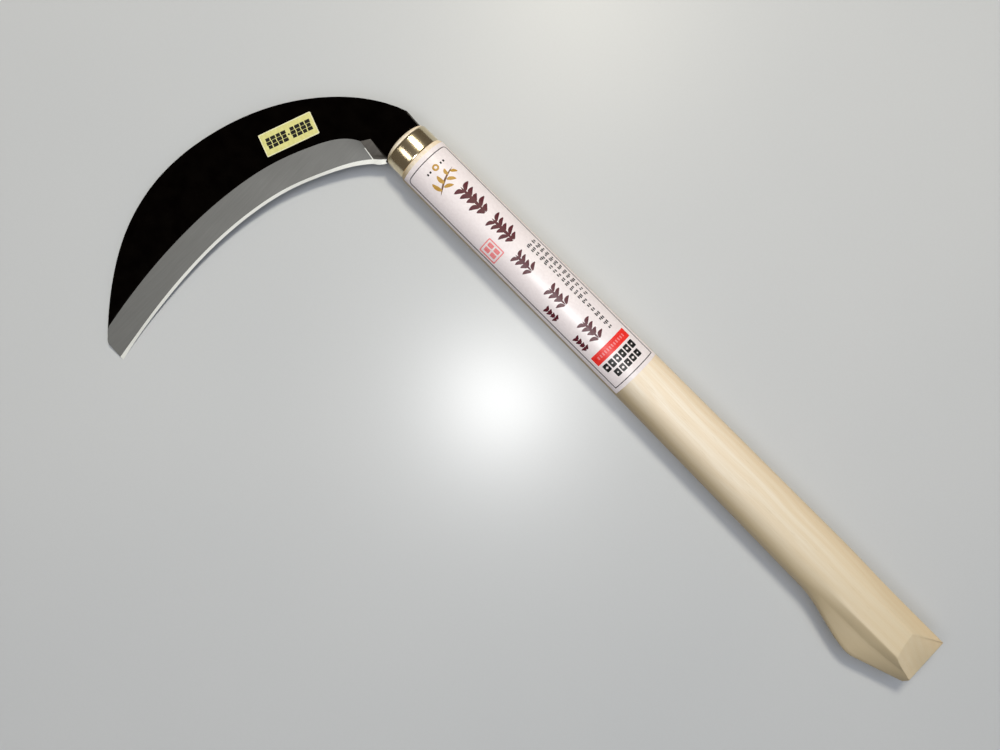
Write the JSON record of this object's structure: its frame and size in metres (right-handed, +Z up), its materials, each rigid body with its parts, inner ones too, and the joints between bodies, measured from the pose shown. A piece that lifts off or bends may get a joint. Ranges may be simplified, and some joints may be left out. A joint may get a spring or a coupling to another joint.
{
  "type": "hand sickle",
  "caption": "Hand sickle: a crescent blade, lacquered black and ground to a bevel on one side, its tang held in an oval wooden handle with a ferrule and a flared butt.",
  "frame": {"origin": "on the handle's long axis at the middle of the grip, 105 mm from the butt's end", "axes": "+X along the handle toward the blade, +Y to the side that the blade's point is on, +Z up off the ground side when the sickle lies on a table"},
  "size_m": [0.4331, 0.1897, 0.0207],
  "materials": {
    "wood": "sanded, unvarnished, fine straight grain",
    "ferrule_plate": "polished pale plating",
    "blade_iron": "glossy black lacquer, with a satin ground bevel",
    "edge_steel": "honed bright",
    "pin_steel": "dull drawn wire",
    "label_paper": "coated paper, satin",
    "sticker_paper": "pale yellow paper, matt"
  },
  "bodies": {
    "root": {"handle": "wood", "ferrule": "ferrule_plate", "blade_body": "blade_iron", "edge_steel": "edge_steel", "tang_pin": "pin_steel", "handle_label": "label_paper", "blade_sticker": "sticker_paper"}
  },
  "joints": []
}
